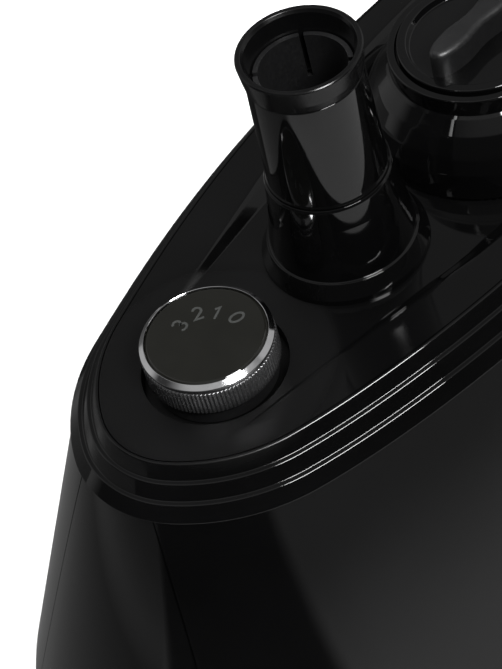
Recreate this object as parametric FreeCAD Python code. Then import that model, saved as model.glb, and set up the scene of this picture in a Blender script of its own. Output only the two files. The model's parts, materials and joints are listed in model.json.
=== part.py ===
"""Base unit of a garment steamer: glossy shells, steam dial, hose socket, tank filler.

Frame: origin at the middle of the footprint on the floor, nose towards -Y, +Z up, millimetres.
The deck panel that carries the dial, the hose socket and the filler drum is the plane z = DECK_Z.
"""
import FreeCAD, Part
import math
import os

V = FreeCAD.Vector
UP = V(0, 0, 1)

# ---- driving dimensions -------------------------------------------------------------------
DECK_Z = 150.0            # deck panel above the floor
SHELL_FOOT_Z = 8.0        # lower edge of the skirt above the floor
WALL = 3.0                # moulded wall thickness
GAP = 0.3                 # clearance between bodies that move apart
SEAM = 0.4                # visible joint line between shells

# Plan of the deck: tangent arcs, symmetric about x = 0.  (centre x, centre y, radius)
NOSE = (0.0, -98.0, 29.0)
SIDE = (-369.0, 41.0, 430.0)      # the arc of the +X side; its centre lies across the axis
TAIL = (0.0, 47.0, 80.0)
SHOULDER_R = 58.0                 # joins nose to side
CORNER_R = 38.0                   # joins side to tail

# Rim tiers: (height against the deck edge, outward offset from the deck outline)
TIERS = ((-15.0, 12.4), (-10.9, 9.2), (-10.3, 8.4), (-10.0, 7.0), (-5.9, 4.7), (-5.3, 4.1),
         (-5.0, 2.7), (-0.7, 0.35), (0.0, -0.5))
LIP_DROP = 15.0           # underside of the lip below the deck edge
FLARE = 0.37              # outward run of the skirt per unit of fall
SKIRT_TOP_OFFSET = 11.0   # skirt offset just under the lip
RISE_Y = -85.0            # behind this line the rim climbs
RISE = 0.067              # climb of the rim per unit length
PANEL_FRONT = (28.0, -75.0)       # half width and y of the sunken panel at its front
PANEL_MID = (37.5, -5.0)
PANEL_BACK = (37.0, 68.0)
PANEL_BULGE = 1.2         # how far the panel's side arcs stand out
BANK = 1.2                # outward run of the bank round the panel per unit of height

DIAL_Y = -85.0            # steam dial axis
HOSE_Y = -22.2            # hose socket axis
DRUM_Y = 51.0             # filler drum axis

GLASS_R, DIAL_R, WELL_R = 20.0, 22.05, 24.0
DIAL_TOP, BEVEL_Z, KNURL_Z = 14.5, 11.3, 1.9
CHAMFER_H = 1.3           # fall of the polished chamfer round the glass
KNURL_COUNT = 118
WELL_DEPTH = 5.0
SHAFT_R = 3.0
BUSH_R = 4.5

FLANGE_R, FLANGE_H = 27.9, 7.1
SOCKET_SEAM_H, SLEEVE_TOP_H, COLLAR_TOP_H = 35.8, 76.5, 86.0
HOSE_BORE_R = 14.0        # takes a 28 mm hose end
DRUM_R, DRUM_RIM_R, DRUM_H = 43.0, 30.2, 32.0
NECK_R = 24.0
WHEEL_R, WHEEL_W, WHEEL_X, WHEEL_Y = 25.0, 14.0, 52.0, 118.0
AXLE_R = 3.0
GLAND_X, GLAND_Z = -30.0, 30.0
TAIL_HALF = 46.0          # half width of the tail panel
DRAIN_Y = -82.0


# ---- small helpers ------------------------------------------------------------------------
def cyl(r, z0, z1, x=0.0, y=0.0):
    """Upright cylinder between two heights."""
    return Part.makeCylinder(r, z1 - z0, V(x, y, z0), UP)


def ring(r_out, r_in, z0, z1, x=0.0, y=0.0):
    """Upright tube between two heights."""
    return cyl(r_out, z0, z1, x, y).cut(cyl(r_in, z0 - 1, z1 + 1, x, y))


def rod_x(r, x0, x1, y, z):
    """Cylinder along X."""
    return Part.makeCylinder(r, x1 - x0, V(x0, y, z), V(1, 0, 0))


def rod_y(r, y0, y1, x, z):
    """Cylinder along Y."""
    return Part.makeCylinder(r, y1 - y0, V(x, y0, z), V(0, 1, 0))


def block(x0, x1, y0, y1, z0, z1):
    """Box between two corners."""
    return Part.makeBox(x1 - x0, y1 - y0, z1 - z0, V(x0, y0, z0))


def rounded_block(x0, x1, y0, y1, z0, z1, r):
    """Box with rounded upright edges."""
    body = block(x0, x1, y0, y1, z0, z1)
    upright = [e for e in body.Edges if abs(e.tangentAt(e.FirstParameter).z) > 0.9]
    return body.makeFillet(r, upright)


def turned(profile, x=0.0, y=0.0):
    """Solid of revolution about the upright line at x, y from (radius, height) points."""
    points = [V(x + r, y, z) for r, z in profile]
    face = Part.Face(Part.makePolygon(points + points[:1]))
    return face.revolve(V(x, y, 0), UP, 360)


def join(shapes):
    """One shape from several that touch or overlap."""
    shapes = list(shapes)
    return shapes[0].multiFuse(shapes[1:]).removeSplitter() if len(shapes) > 1 else shapes[0]


def pipe(points, r_out, r_in, bend):
    """Tube of straight runs joined by tangent arcs."""
    edges = []
    start = points[0]
    for before, corner, after in zip(points, points[1:], points[2:]):
        back = (before - corner).normalize()
        ahead = (after - corner).normalize()
        half = back.getAngle(ahead) / 2
        reach = bend / math.tan(half)
        middle = corner + (back + ahead).normalize() * (bend / math.sin(half) - bend)
        edges.append(Part.LineSegment(start, corner + back * reach).toShape())
        edges.append(Part.Arc(corner + back * reach, middle, corner + ahead * reach).toShape())
        start = corner + ahead * reach
    edges.append(Part.LineSegment(start, points[-1]).toShape())
    path = Part.Wire(edges)
    heading = (points[1] - points[0]).normalize()
    outer = path.makePipeShell([Part.Wire(Part.makeCircle(r_out, points[0], heading))], True, True)
    inner = path.makePipeShell([Part.Wire(Part.makeCircle(r_in, points[0], heading))], True, True)
    return outer.cut(inner)


# ---- plan outline and the climbing rim ------------------------------------------------------
def meet(c1, r1, c2, r2, sign):
    """One meeting point of two circles; sign picks the side of the line c1 to c2."""
    dx, dy = c2[0] - c1[0], c2[1] - c1[1]
    gap = math.hypot(dx, dy)
    along = (r1 * r1 - r2 * r2 + gap * gap) / (2 * gap)
    off = math.sqrt(r1 * r1 - along * along) * sign
    return (c1[0] + (along * dx - off * dy) / gap, c1[1] + (along * dy + off * dx) / gap)


SHOULDER = meet(NOSE, SHOULDER_R - NOSE[2], SIDE, SIDE[2] - SHOULDER_R, -1) + (SHOULDER_R,)
CORNER = meet(TAIL, TAIL[2] - CORNER_R, SIDE, SIDE[2] - CORNER_R, -1) + (CORNER_R,)


def on_circle(circle, through, offset):
    """Point of the grown circle on the line from its centre through another point."""
    dx, dy = through[0] - circle[0], through[1] - circle[1]
    scale = (circle[2] + offset) / math.hypot(dx, dy)
    return (circle[0] + dx * scale, circle[1] + dy * scale)


def oval(offset, z):
    """Closed plan outline, grown outwards by offset, at height z."""
    def away(big, small):
        """Direction point past the small circle's centre, seen from the big one's."""
        return on_circle(big, small, offset)

    half = [
        ((0, NOSE[1] - NOSE[2] - offset), away(SHOULDER, NOSE)),
        (away(SHOULDER, NOSE), away(SIDE, SHOULDER)),
        (away(SIDE, SHOULDER), away(SIDE, CORNER)),
        (away(SIDE, CORNER), away(TAIL, CORNER)),
        (away(TAIL, CORNER), (0, TAIL[1] + TAIL[2] + offset)),
    ]
    circles = (NOSE, SHOULDER, SIDE, CORNER, TAIL)
    right, left = [], []
    for (start, end), circle in zip(half, circles):
        middle = on_circle(circle, ((start[0] + end[0]) / 2, (start[1] + end[1]) / 2), offset)
        three = [V(p[0], p[1], z) for p in (start, middle, end)]
        right.append(Part.Arc(*three).toShape())
        left.append(Part.Arc(*[V(-p.x, p.y, z) for p in reversed(three)]).toShape())
    return Part.Wire(right + left[::-1])


def stack(levels):
    """Solid through plan outlines given as (height, offset), lowest first."""
    return Part.makeLoft([oval(offset, z) for z, offset in levels], True, True)


def climb(shape):
    """Lift everything behind RISE_Y in proportion to its distance."""
    front = shape.common(block(-300, 300, -400, RISE_Y, -50, 400))
    rear = shape.common(block(-300, 300, RISE_Y, 400, -50, 400))
    lift = FreeCAD.Matrix()
    lift.A32 = RISE
    lift.A34 = -RISE * RISE_Y
    return front.fuse(rear.transformGeometry(lift))


def above_rim(drop):
    """Everything above the climbing surface that lies drop below the deck edge."""
    z0 = DECK_Z - drop
    high = z0 + RISE * (300 - RISE_Y)
    outline = [V(-300, -300, z0), V(-300, RISE_Y, z0), V(-300, 300, high),
               V(-300, 300, 400), V(-300, -300, 400)]
    return Part.Face(Part.makePolygon(outline + outline[:1])).extrude(V(600, 0, 0))


def panel(grow, z):
    """Outline of the sunken deck panel, grown outwards, at height z."""
    wide = [(-PANEL_FRONT[0] - grow, PANEL_FRONT[1]), (-PANEL_MID[0] - grow, PANEL_MID[1]),
            (-PANEL_BACK[0] - grow, PANEL_BACK[1] + grow)]
    a, b, c = [V(x, y, z) for x, y in wide]
    mirrored = [V(-p.x, p.y, z) for p in (a, b, c)]
    bulge = V(-PANEL_BACK[0] - grow - PANEL_BULGE, (PANEL_MID[1] + PANEL_BACK[1]) / 2, z)
    edges = [Part.makeLine(mirrored[0], a), Part.makeLine(a, b), Part.Arc(b, bulge, c).toShape(),
             Part.makeLine(c, mirrored[2]),
             Part.Arc(mirrored[2], V(-bulge.x, bulge.y, z), mirrored[1]).toShape(),
             Part.makeLine(mirrored[1], mirrored[0])]
    return Part.Wire(edges)


def panel_pocket(grow, z0, z1):
    """Space above the sunken panel, widening upwards along its bank."""
    low, high = panel(grow, z0), panel(grow + (z1 - z0) * BANK, z1)
    return Part.makeLoft([low, high], True, True)


# ---- housing ----------------------------------------------------------------------------
def top_cover():
    """Three-tier deck cover with the sunken panel, the dial well and the deck openings."""
    outer = climb(stack([(DECK_Z + z, offset) for z, offset in TIERS]))
    outer = outer.cut(panel_pocket(0, DECK_Z, DECK_Z + 30))
    hollow = climb(stack([(DECK_Z - LIP_DROP - 1, 10.0), (DECK_Z - WALL, -1.0)]))
    hollow = hollow.cut(panel_pocket(WALL, DECK_Z - WALL, DECK_Z + 30))
    hollow = hollow.cut(cyl(WELL_R + WALL, DECK_Z - WELL_DEPTH - WALL, DECK_Z + 5, 0, DIAL_Y))
    hollow = hollow.cut(cyl(DRUM_R + WALL, DECK_Z - WALL, DECK_Z + 40, 0, DRUM_Y))
    cover = outer.cut(hollow).cut(cyl(DRUM_R + GAP, DECK_Z, DECK_Z + 40, 0, DRUM_Y))
    cuts = [cyl(WELL_R, DECK_Z - WELL_DEPTH, DECK_Z + 20, 0, DIAL_Y),
            cyl(BUSH_R + 0.2, DECK_Z - 20, DECK_Z, 0, DIAL_Y),
            cyl(20.2, DECK_Z - 20, DECK_Z + 20, 0, HOSE_Y),
            cyl(36.2, DECK_Z - 20, DECK_Z + 40, 0, DRUM_Y)]
    for hole in cuts:
        cover = cover.cut(hole)
    return cover


def seam_wedge(shrink):
    """Space in front of the two upright seam planes that bound the nose panel."""
    start = V(16.7 - shrink, -135.4, 0)
    run = V(15.8, -12.6, 0) * 9
    outline = [start, start + run, V(-start.x - run.x, start.y + run.y, 0), V(-start.x, start.y, 0)]
    floor = [V(p.x, p.y, -5) for p in outline]
    wedge = Part.Face(Part.makePolygon(floor + floor[:1])).extrude(V(0, 0, 200))
    return wedge.fuse(block(-start.x, start.x, -300, -135.4, -5, 195))


def skirt():
    """Flared wall from the lip of the cover down to the foot edge."""
    drop = DECK_Z - LIP_DROP - SHELL_FOOT_Z
    low = SKIRT_TOP_OFFSET + drop * FLARE
    top = SKIRT_TOP_OFFSET - 20 * FLARE
    high_z = DECK_Z - LIP_DROP + 20
    outer = stack([(SHELL_FOOT_Z, low), (high_z, top)])
    inner = stack([(SHELL_FOOT_Z - WALL, low - WALL + WALL * FLARE),
                   (high_z + 1, top - WALL - FLARE)])
    return outer.cut(inner).cut(above_rim(LIP_DROP))


def housing_shells():
    """Nose and tail panels and the two side shells, with open joint lines between them."""
    wall = skirt()
    sides = wall.cut(seam_wedge(-SEAM))
    tail_zone = block(-TAIL_HALF, TAIL_HALF, 60, 300, -5, 300)
    tail = wall.common(tail_zone).cut(rod_y(9.2, 140, 200, GLAND_X, GLAND_Z))
    edge = TAIL_HALF + SEAM
    return {"nose_panel": wall.common(seam_wedge(0)),
            "tail_panel": tail,
            "left_shell": sides.common(block(-300, -edge, -300, 300, -5, 300)),
            "right_shell": sides.common(block(edge, 300, -300, 300, -5, 300))}


def base_plate():
    """Floor of the base with wheel wells, axle cheeks and the boiler posts."""
    inside = SKIRT_TOP_OFFSET + (DECK_Z - LIP_DROP - SHELL_FOOT_Z) * FLARE - WALL - 2.2
    plate = stack([(SHELL_FOOT_Z, inside), (SHELL_FOOT_Z + 4, inside - 4 * FLARE)])
    cheeks = []
    for side in (-1, 1):
        x = side * WHEEL_X
        plate = plate.cut(block(x - 10, x + 10, WHEEL_Y - 29, WHEEL_Y + 29, 0, 30))
        for inner_x in (x - 16, x + 11):
            cheeks.append(block(inner_x, inner_x + 5, WHEEL_Y - 12, WHEEL_Y + 12, SHELL_FOOT_Z, 34))
    posts = [cyl(5, SHELL_FOOT_Z, 24, x, y) for x in (-36, 36) for y in (-112, -52)]
    body = join([plate] + cheeks + posts)
    body = body.cut(rod_x(AXLE_R + 0.05, -90, 90, WHEEL_Y, WHEEL_R))
    for x in (-36, 36):
        for y in (-112, -52):
            body = body.cut(cyl(1.6, 12, 25, x, y))
    return body.cut(cyl(9, 0, 20, 0, DRAIN_Y))


# ---- running gear -------------------------------------------------------------------------
def wheel(side):
    """Plastic wheel hub with a groove for its tyre."""
    x = side * WHEEL_X
    hub = rod_x(WHEEL_R - 4, x - WHEEL_W / 2, x + WHEEL_W / 2, WHEEL_Y, WHEEL_R)
    dish = rod_x(WHEEL_R - 9, x - WHEEL_W / 2 - 1, x - WHEEL_W / 2 + 3, WHEEL_Y, WHEEL_R)
    far_dish = rod_x(WHEEL_R - 9, x + WHEEL_W / 2 - 3, x + WHEEL_W / 2 + 1, WHEEL_Y, WHEEL_R)
    boss = rod_x(7, x - WHEEL_W / 2, x + WHEEL_W / 2, WHEEL_Y, WHEEL_R)
    bore = rod_x(AXLE_R + 0.05, x - 20, x + 20, WHEEL_Y, WHEEL_R)
    return hub.cut(dish).cut(far_dish).fuse(boss).cut(bore)


def tyre(side):
    """Rubber tyre round one wheel."""
    x = side * WHEEL_X
    outer = rod_x(WHEEL_R, x - WHEEL_W / 2 + 1, x + WHEEL_W / 2 - 1, WHEEL_Y, WHEEL_R)
    outer = outer.makeFillet(1.5, [e for e in outer.Edges if e.Curve.TypeId == "Part::GeomCircle"])
    return outer.cut(rod_x(WHEEL_R - 4, x - 20, x + 20, WHEEL_Y, WHEEL_R))


def axle():
    """Steel rod through both wheels."""
    return rod_x(AXLE_R, -72, 72, WHEEL_Y, WHEEL_R)


def axle_caps():
    """Push-on caps that keep the axle from sliding out."""
    caps = []
    for side in (-1, 1):
        x0 = 68.3 if side > 0 else -73.3
        hollow = 68.3 if side > 0 else -72
        cap = rod_x(5, x0, x0 + 5, WHEEL_Y, WHEEL_R)
        caps.append(cap.cut(rod_x(AXLE_R, hollow - 0.01, hollow + 3.71, WHEEL_Y, WHEEL_R)))
    return Part.makeCompound(caps)


FRONT_FEET = ((-62.0, -118.0), (62.0, -118.0))
REAR_FEET = ((-84.0, 92.0), (84.0, 92.0))


def rubber_feet():
    """Four pads that take the weight beside the wheels."""
    feet = []
    for x, y in FRONT_FEET + REAR_FEET:
        pad = cyl(12, 0, SHELL_FOOT_Z, x, y)
        rim = [e for e in pad.Edges if e.Curve.TypeId == "Part::GeomCircle" and e.Vertexes[0].Z < 1]
        feet.append(pad.makeFillet(1.5, rim))
    return Part.makeCompound(feet)


# ---- steam dial -------------------------------------------------------------------------
DIAL_Z = DECK_Z + KNURL_Z


def dial_ring():
    """Knurled metal ring with a polished bevel that holds the glass."""
    knurl_top, top = DECK_Z + BEVEL_Z, DECK_Z + DIAL_TOP
    root_r, groove_r = DIAL_R - 0.35, DIAL_R - 1.15
    body = turned([(19.0, DIAL_Z), (DIAL_R - 0.6, DIAL_Z), (root_r, DIAL_Z + 0.4),
                   (root_r, knurl_top - 0.4), (DIAL_R - 0.65, knurl_top), (groove_r, knurl_top),
                   (groove_r, knurl_top + 0.7), (DIAL_R - 0.3, knurl_top + 1.0),
                   (DIAL_R - 0.3, top - CHAMFER_H), (GLASS_R + 0.1, top), (GLASS_R, top - 0.1),
                   (GLASS_R, top - 1.8), (19.0, top - 1.8)], 0, DIAL_Y)
    ridge = Part.makeBox(1.2, 0.56, BEVEL_Z - KNURL_Z - 1.1,
                         V(DIAL_R - 1.2, -0.28, DIAL_Z + 0.4))
    ridges = []
    for i in range(KNURL_COUNT):
        one = ridge.copy()
        one.rotate(V(0, 0, 0), UP, 360.0 * i / KNURL_COUNT)
        one.translate(V(0, DIAL_Y, 0))
        ridges.append(one)
    return body.multiFuse(ridges)


def dial_glass():
    """Dark glass disc set into the top of the dial."""
    return cyl(GLASS_R, DECK_Z + DIAL_TOP - 1.8, DECK_Z + DIAL_TOP, 0, DIAL_Y)


def dial_hub():
    """Plastic core of the dial with the bore for the switch shaft."""
    top = DECK_Z + DIAL_TOP - 1.8
    core = turned([(0, top - 2.5), (0, top), (19.0, top), (19.0, DIAL_Z), (17.0, DIAL_Z),
                   (17.0, top - 2.5)], 0, DIAL_Y)
    core = core.fuse(cyl(7, DIAL_Z + 0.5, top - 1, 0, DIAL_Y))
    return core.cut(cyl(SHAFT_R, DIAL_Z, DECK_Z + 10, 0, DIAL_Y))


def dial_skirt():
    """Narrow neck below the knurling that closes the well."""
    return ring(20.0, 18.0, DECK_Z - WELL_DEPTH + 0.6, DIAL_Z, 0, DIAL_Y)


def switch_shaft():
    """Shaft of the rotary switch, pressed into the dial hub."""
    return cyl(SHAFT_R, DECK_Z - 24, DECK_Z + 10, 0, DIAL_Y)


def rotary_switch():
    """Four-position rotary switch under the deck with its threaded bush."""
    body = rounded_block(-15, 15, DIAL_Y - 15, DIAL_Y + 15, DECK_Z - 28, DECK_Z - 8, 3)
    body = body.fuse(cyl(BUSH_R, DECK_Z - 8, DECK_Z - 0.5, 0, DIAL_Y))
    body = body.cut(cyl(SHAFT_R + 0.05, DECK_Z - 24, DECK_Z + 1, 0, DIAL_Y))
    tags = [block(x - 0.4, x + 0.4, DIAL_Y - 3, DIAL_Y + 3, DECK_Z - 36, DECK_Z - 28)
            for x in (-10, -3.5, 3.5, 10)]
    return join([body] + tags)


def switch_nut():
    """Nut that clamps the switch bush to the floor of the well."""
    sides = [V(8 * math.cos(math.radians(60 * i)), DIAL_Y + 8 * math.sin(math.radians(60 * i)),
               DECK_Z - WELL_DEPTH) for i in range(6)]
    nut = Part.Face(Part.makePolygon(sides + sides[:1])).extrude(V(0, 0, 3))
    return nut.cut(cyl(BUSH_R, DECK_Z - 10, DECK_Z + 5, 0, DIAL_Y))


# ---- hose socket ------------------------------------------------------------------------
def hose_socket():
    """Flanged lower column that stands on the deck and reaches down through it."""
    z = DECK_Z
    profile = [(HOSE_BORE_R + 2.5, z - 30), (20, z - 30), (20, z), (FLANGE_R, z),
               (FLANGE_R - 0.4, z + 3.0), (FLANGE_R - 2.2, z + 6.2), (24.8, z + FLANGE_H),
               (24.0, z + FLANGE_H + 0.3), (23.2, z + 10.5), (22.1, z + 18), (21.2, z + 27),
               (20.75, z + SOCKET_SEAM_H - 0.8), (20.4, z + SOCKET_SEAM_H),
               (HOSE_BORE_R + 2.5, z + SOCKET_SEAM_H)]
    return turned(profile, 0, HOSE_Y)


def socket_sleeve():
    """Upper column, seated on the socket."""
    z = DECK_Z
    shelf = z + SLEEVE_TOP_H - 16
    profile = [(HOSE_BORE_R + 2.5, z + SOCKET_SEAM_H), (19.6, z + SOCKET_SEAM_H),
               (19.9, z + SOCKET_SEAM_H + 0.6), (19.6, z + SOCKET_SEAM_H + 1.4),
               (18.9, z + 60), (18.5, z + SLEEVE_TOP_H), (17.0, z + SLEEVE_TOP_H),
               (17.0, shelf), (HOSE_BORE_R + 2.5, shelf)]
    return turned(profile, 0, HOSE_Y)


def lock_collar():
    """Flared twist collar that closes the grip sleeve on the hose end."""
    z = DECK_Z + SLEEVE_TOP_H
    top = DECK_Z + COLLAR_TOP_H
    profile = [(15.9, z - 14), (16.95, z - 14), (16.95, z + GAP), (18.7, z + GAP),
               (19.2, z + 3), (19.9, top - 0.6), (19.6, top), (18.3, top), (17.8, top - 0.8),
               (16.2, z + 3), (15.9, z + 1)]
    return turned(profile, 0, HOSE_Y)


def grip_sleeve():
    """Liner of the socket with a slit upper end that grips the hose end."""
    body = ring(HOSE_BORE_R + 2.5, HOSE_BORE_R, DECK_Z - 20, DECK_Z + SLEEVE_TOP_H - 18, 0, HOSE_Y)
    fingers = ring(HOSE_BORE_R + 1.6, HOSE_BORE_R, DECK_Z + 50, DECK_Z + SLEEVE_TOP_H + 2, 0, HOSE_Y)
    body = body.fuse(fingers)
    for i in range(4):
        slit = block(-0.8, 0.8, 0, 30, DECK_Z + SLEEVE_TOP_H - 15, DECK_Z + 100)
        slit.rotate(V(0, 0, 0), UP, 45 + 90 * i)
        slit.translate(V(0, HOSE_Y, 0))
        body = body.cut(slit)
    return body


def steam_nozzle():
    """Plug at the foot of the socket with the barb for the steam pipe."""
    z = DECK_Z - 30
    profile = [(4, z - 14), (5.6, z - 14), (6.4, z - 12), (6, z - 2), (18, z - 2), (18, z),
               (HOSE_BORE_R + 2.5, z), (HOSE_BORE_R + 2.5, z + 8), (8, z + 8), (4, z + 5)]
    return turned(profile, 0, HOSE_Y)


def nozzle_seal():
    """Flat ring on which the hose end seats."""
    return ring(HOSE_BORE_R + 2.3, 8.5, DECK_Z - 22, DECK_Z - 20, 0, HOSE_Y)


def socket_nut():
    """Large ring nut that draws the socket down on the deck from below."""
    nut = ring(27, 20, DECK_Z - WALL - 8, DECK_Z - WALL, 0, HOSE_Y)
    for i in range(8):
        notch = block(25, 30, -2, 2, DECK_Z - 20, DECK_Z)
        notch.rotate(V(0, 0, 0), UP, 45 * i)
        notch.translate(V(0, HOSE_Y, 0))
        nut = nut.cut(notch)
    return nut


# ---- water side -------------------------------------------------------------------------
TANK_Y0, TANK_Z0, TANK_Z1 = 8.0, 56.0, 134.0
TANK_WALL = 2.5
STUB_Y = TANK_Y0 + 14


def filler_drum():
    """Domed drum on the deck round the filler neck, with an upright rim round the cap."""
    z, top = DECK_Z, DECK_Z + DRUM_H
    profile = [(NECK_R + 0.5, z - 8), (36, z - 8), (36, z), (DRUM_R, z), (DRUM_R - 0.2, z + 3),
               (DRUM_R - 1.4, z + 9), (DRUM_R - 3.8, z + 15), (DRUM_R - 7.4, z + 20.5),
               (DRUM_R - 11.6, z + 25), (DRUM_RIM_R + 0.3, z + 25.8), (DRUM_RIM_R, top - 0.8),
               (DRUM_RIM_R - 0.8, top), (DRUM_RIM_R - 2.4, top), (DRUM_RIM_R - 3.0, top - 0.6),
               (DRUM_RIM_R - 3.0, top - 3), (NECK_R + 0.5, top - 3)]
    return turned(profile, 0, DRUM_Y)


def filler_cap():
    """Turn-to-open cap with a raised rim and a grip bar across it."""
    z = DECK_Z + DRUM_H - 3 + GAP
    r = DRUM_RIM_R - 3.4
    profile = [(0, z), (r, z), (r, z + 3.6), (r - 0.6, z + 4.2), (r - 3.0, z + 4.2),
               (r - 3.6, z + 3.4), (r - 4.2, z + 2.2), (0, z + 2.2)]
    cap = turned(profile, 0, DRUM_Y)
    grip = rounded_block(-5, 5, DRUM_Y - 21, DRUM_Y + 21, z + 2, z + 12, 4.5)
    crown = [e for e in grip.Edges if e.BoundBox.ZMin > z + 11.9]
    grip = grip.makeFillet(2, crown)
    plug = ring(NECK_R - 3.3, NECK_R - 6, z - 8, z + 0.5, 0, DRUM_Y)
    return join([cap, grip, plug])


def cap_seal():
    """Ring seal on the cap's plug."""
    seal = Part.makeTorus(NECK_R - 3.3, 0.7, V(0, DRUM_Y, DECK_Z + DRUM_H - 7), UP)
    return seal.cut(cyl(NECK_R - 3.3, DECK_Z, DECK_Z + 60, 0, DRUM_Y))


def tank_form(inset):
    """Block that follows the inside of the skirt behind TANK_Y0, shrunk by inset."""
    def offset(z):
        return SKIRT_TOP_OFFSET + (DECK_Z - LIP_DROP - z) * FLARE - WALL - 3 - inset

    z0, z1 = TANK_Z0 + inset, TANK_Z1 - inset
    form = stack([(z0, offset(z0)), (z1, offset(z1))])
    return form.common(block(-200, 200, TANK_Y0 + inset, 300, 0, 300))


def tank_tub():
    """Open lower part of the tank with its outlet stub below."""
    stub = cyl(6, TANK_Z0 - 8, TANK_Z0 + TANK_WALL, 0, STUB_Y)
    tub = join([tank_form(0), stub]).cut(tank_form(TANK_WALL))
    tub = tub.cut(block(-200, 200, -200, 300, TANK_Z1 - TANK_WALL, 300))
    return tub.cut(cyl(4, TANK_Z0 - 20, TANK_Z0 + 10, 0, STUB_Y))


def tank_top():
    """Flat top welded on the tub, with the hole of the neck."""
    top = tank_form(0).common(block(-200, 200, -200, 300, TANK_Z1 - TANK_WALL, 300))
    return top.cut(cyl(NECK_R - 2.5, 0, 300, 0, DRUM_Y))


def filler_neck():
    """Tube from the tank top up into the drum."""
    return ring(NECK_R, NECK_R - 2.5, TANK_Z1, DECK_Z + DRUM_H - 4, 0, DRUM_Y)


def tank_cradle():
    """Frame on the base plate that carries the tank."""
    plate_top = SHELL_FOOT_Z + 4
    legs = [block(x, x + 6, y, y + 6, plate_top, TANK_Z0) for x in (-70, 64) for y in (14, 82)]
    rails = [block(x, x + 6, 14, 88, TANK_Z0 - 6, TANK_Z0) for x in (-70, 64)]
    cross = [block(-70, 70, 82, 88, TANK_Z0 - 6, TANK_Z0)]
    return join(legs + rails + cross)


# ---- steam side -------------------------------------------------------------------------
BOILER = (-42.0, 42.0, -118.0, -46.0, 24.0, 50.0)


def boiler_body():
    """Cast block with the boiling chamber."""
    x0, x1, y0, y1, z0, z1 = BOILER
    body = rounded_block(x0, x1, y0, y1, z0, z1, 12)
    body = body.cut(rounded_block(x0 + 14, x1 - 14, y0 + 14, y1 - 14, z0 + 8, z1 + 1, 8))
    for x, y in boiler_corners():
        body = body.cut(cyl(1.6, z1 - 12, z1 + 1, x, y))
    body = body.cut(cyl(4, z0 - 1, z0 + 9, 0, DRAIN_Y))
    return body.cut(element_path(3.5))


def boiler_corners():
    """Places of the lid screws."""
    x0, x1, y0, y1, _, _ = BOILER
    return [(x, y) for x in (x0 + 7, x1 - 7) for y in (y0 + 9, y1 - 9)]


def boiler_lid():
    """Flat lid of the boiling chamber with the steam and water stubs."""
    x0, x1, y0, y1, _, z1 = BOILER
    lid = rounded_block(x0, x1, y0, y1, z1 + 1, z1 + 4, 12)
    stubs = [cyl(5, z1 + 4, z1 + 14, x, -64) for x in (-14, 14)]
    lid = join([lid] + stubs)
    for x in (-14, 14):
        lid = lid.cut(cyl(3, z1 - 2, z1 + 20, x, -64))
    for x, y in boiler_corners():
        lid = lid.cut(cyl(2.1, z1, z1 + 6, x, y))
    return lid


def boiler_gasket():
    """Flat seal between boiler and lid."""
    x0, x1, y0, y1, _, z1 = BOILER
    seal = rounded_block(x0, x1, y0, y1, z1, z1 + 1, 12)
    seal = seal.cut(rounded_block(x0 + 13, x1 - 13, y0 + 13, y1 - 13, z1 - 1, z1 + 2, 8))
    for x, y in boiler_corners():
        seal = seal.cut(cyl(2.1, z1 - 1, z1 + 2, x, y))
    return seal


def boiler_screws():
    """Four screws that hold the lid down."""
    z1 = BOILER[5]
    return Part.makeCompound([cyl(3.2, z1 + 4, z1 + 6.4, x, y).fuse(cyl(1.6, z1 - 8, z1 + 4, x, y))
                              for x, y in boiler_corners()])


def element_path(radius):
    """Round bar along the heater's U inside the cast block."""
    x0, x1, y0, y1, z0, _ = BOILER
    x, front, back, z, r = x1 - 7.5, y1 + 10, y0 + 7.5, z0 + 11, 16.0
    mid = r * (1 - math.sqrt(0.5))
    left_bend = Part.Arc(V(-x, back + r, z), V(-x + mid, back + mid, z), V(-x + r, back, z))
    right_bend = Part.Arc(V(x - r, back, z), V(x - mid, back + mid, z), V(x, back + r, z))
    edges = [Part.makeLine(V(-x, front, z), V(-x, back + r, z)), left_bend.toShape(),
             Part.makeLine(V(-x + r, back, z), V(x - r, back, z)), right_bend.toShape(),
             Part.makeLine(V(x, back + r, z), V(x, front, z))]
    start = Part.Wire(Part.makeCircle(radius, V(-x, front, z), V(0, 1, 0)))
    return Part.Wire(edges).makePipeShell([start], True, True)


def heater_element():
    """Sheathed heater bar cast into the boiler, with its two terminals."""
    x, y, z = BOILER[1] - 7.5, BOILER[3] + 10, BOILER[4] + 11
    return join([element_path(3.5)] + [rod_y(1.2, y, y + 9, side * x, z) for side in (-1, 1)])


def thermostat():
    """Snap-disc thermostat on the side of the boiler."""
    y = BOILER[2] + 34
    x = BOILER[1]
    return join([rod_x(8, x, x + 6, y, 38), block(x + 6, x + 12, y - 5, y - 3.5, 36, 40),
                 block(x + 6, x + 12, y + 3.5, y + 5, 36, 40)])


def thermal_fuse():
    """One-shot fuse in its clip on the other side of the boiler."""
    x, y = BOILER[0], BOILER[2] + 36
    return join([rod_y(3, y - 9, y + 9, x - 3, 38), block(x - 8, x, y - 3, y + 3, 34, 35.5)])


def feed_valve():
    """Check valve body between the tank stub and the feed tube."""
    top = TANK_Z0 - 8
    body = cyl(10, top - 16, top + 6, 0, STUB_Y).fuse(rod_y(4.5, STUB_Y - 20, STUB_Y - 6, 0, top - 8))
    body = body.cut(cyl(6.0, top - 2, top + 7, 0, STUB_Y))
    return body.cut(cyl(3, top - 10, top, 0, STUB_Y)).cut(rod_y(2.5, STUB_Y - 21, STUB_Y, 0, top - 8))


def feed_tube():
    """Water tube from the valve to the boiler lid."""
    y, z = STUB_Y - 20, TANK_Z0 - 16
    return pipe([V(0, y, z), V(0, y - 22, z), V(14, y - 40, 82), V(14, -64, 82), V(14, -64, 64)],
                5.0, 3.0, 6.0)


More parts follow.
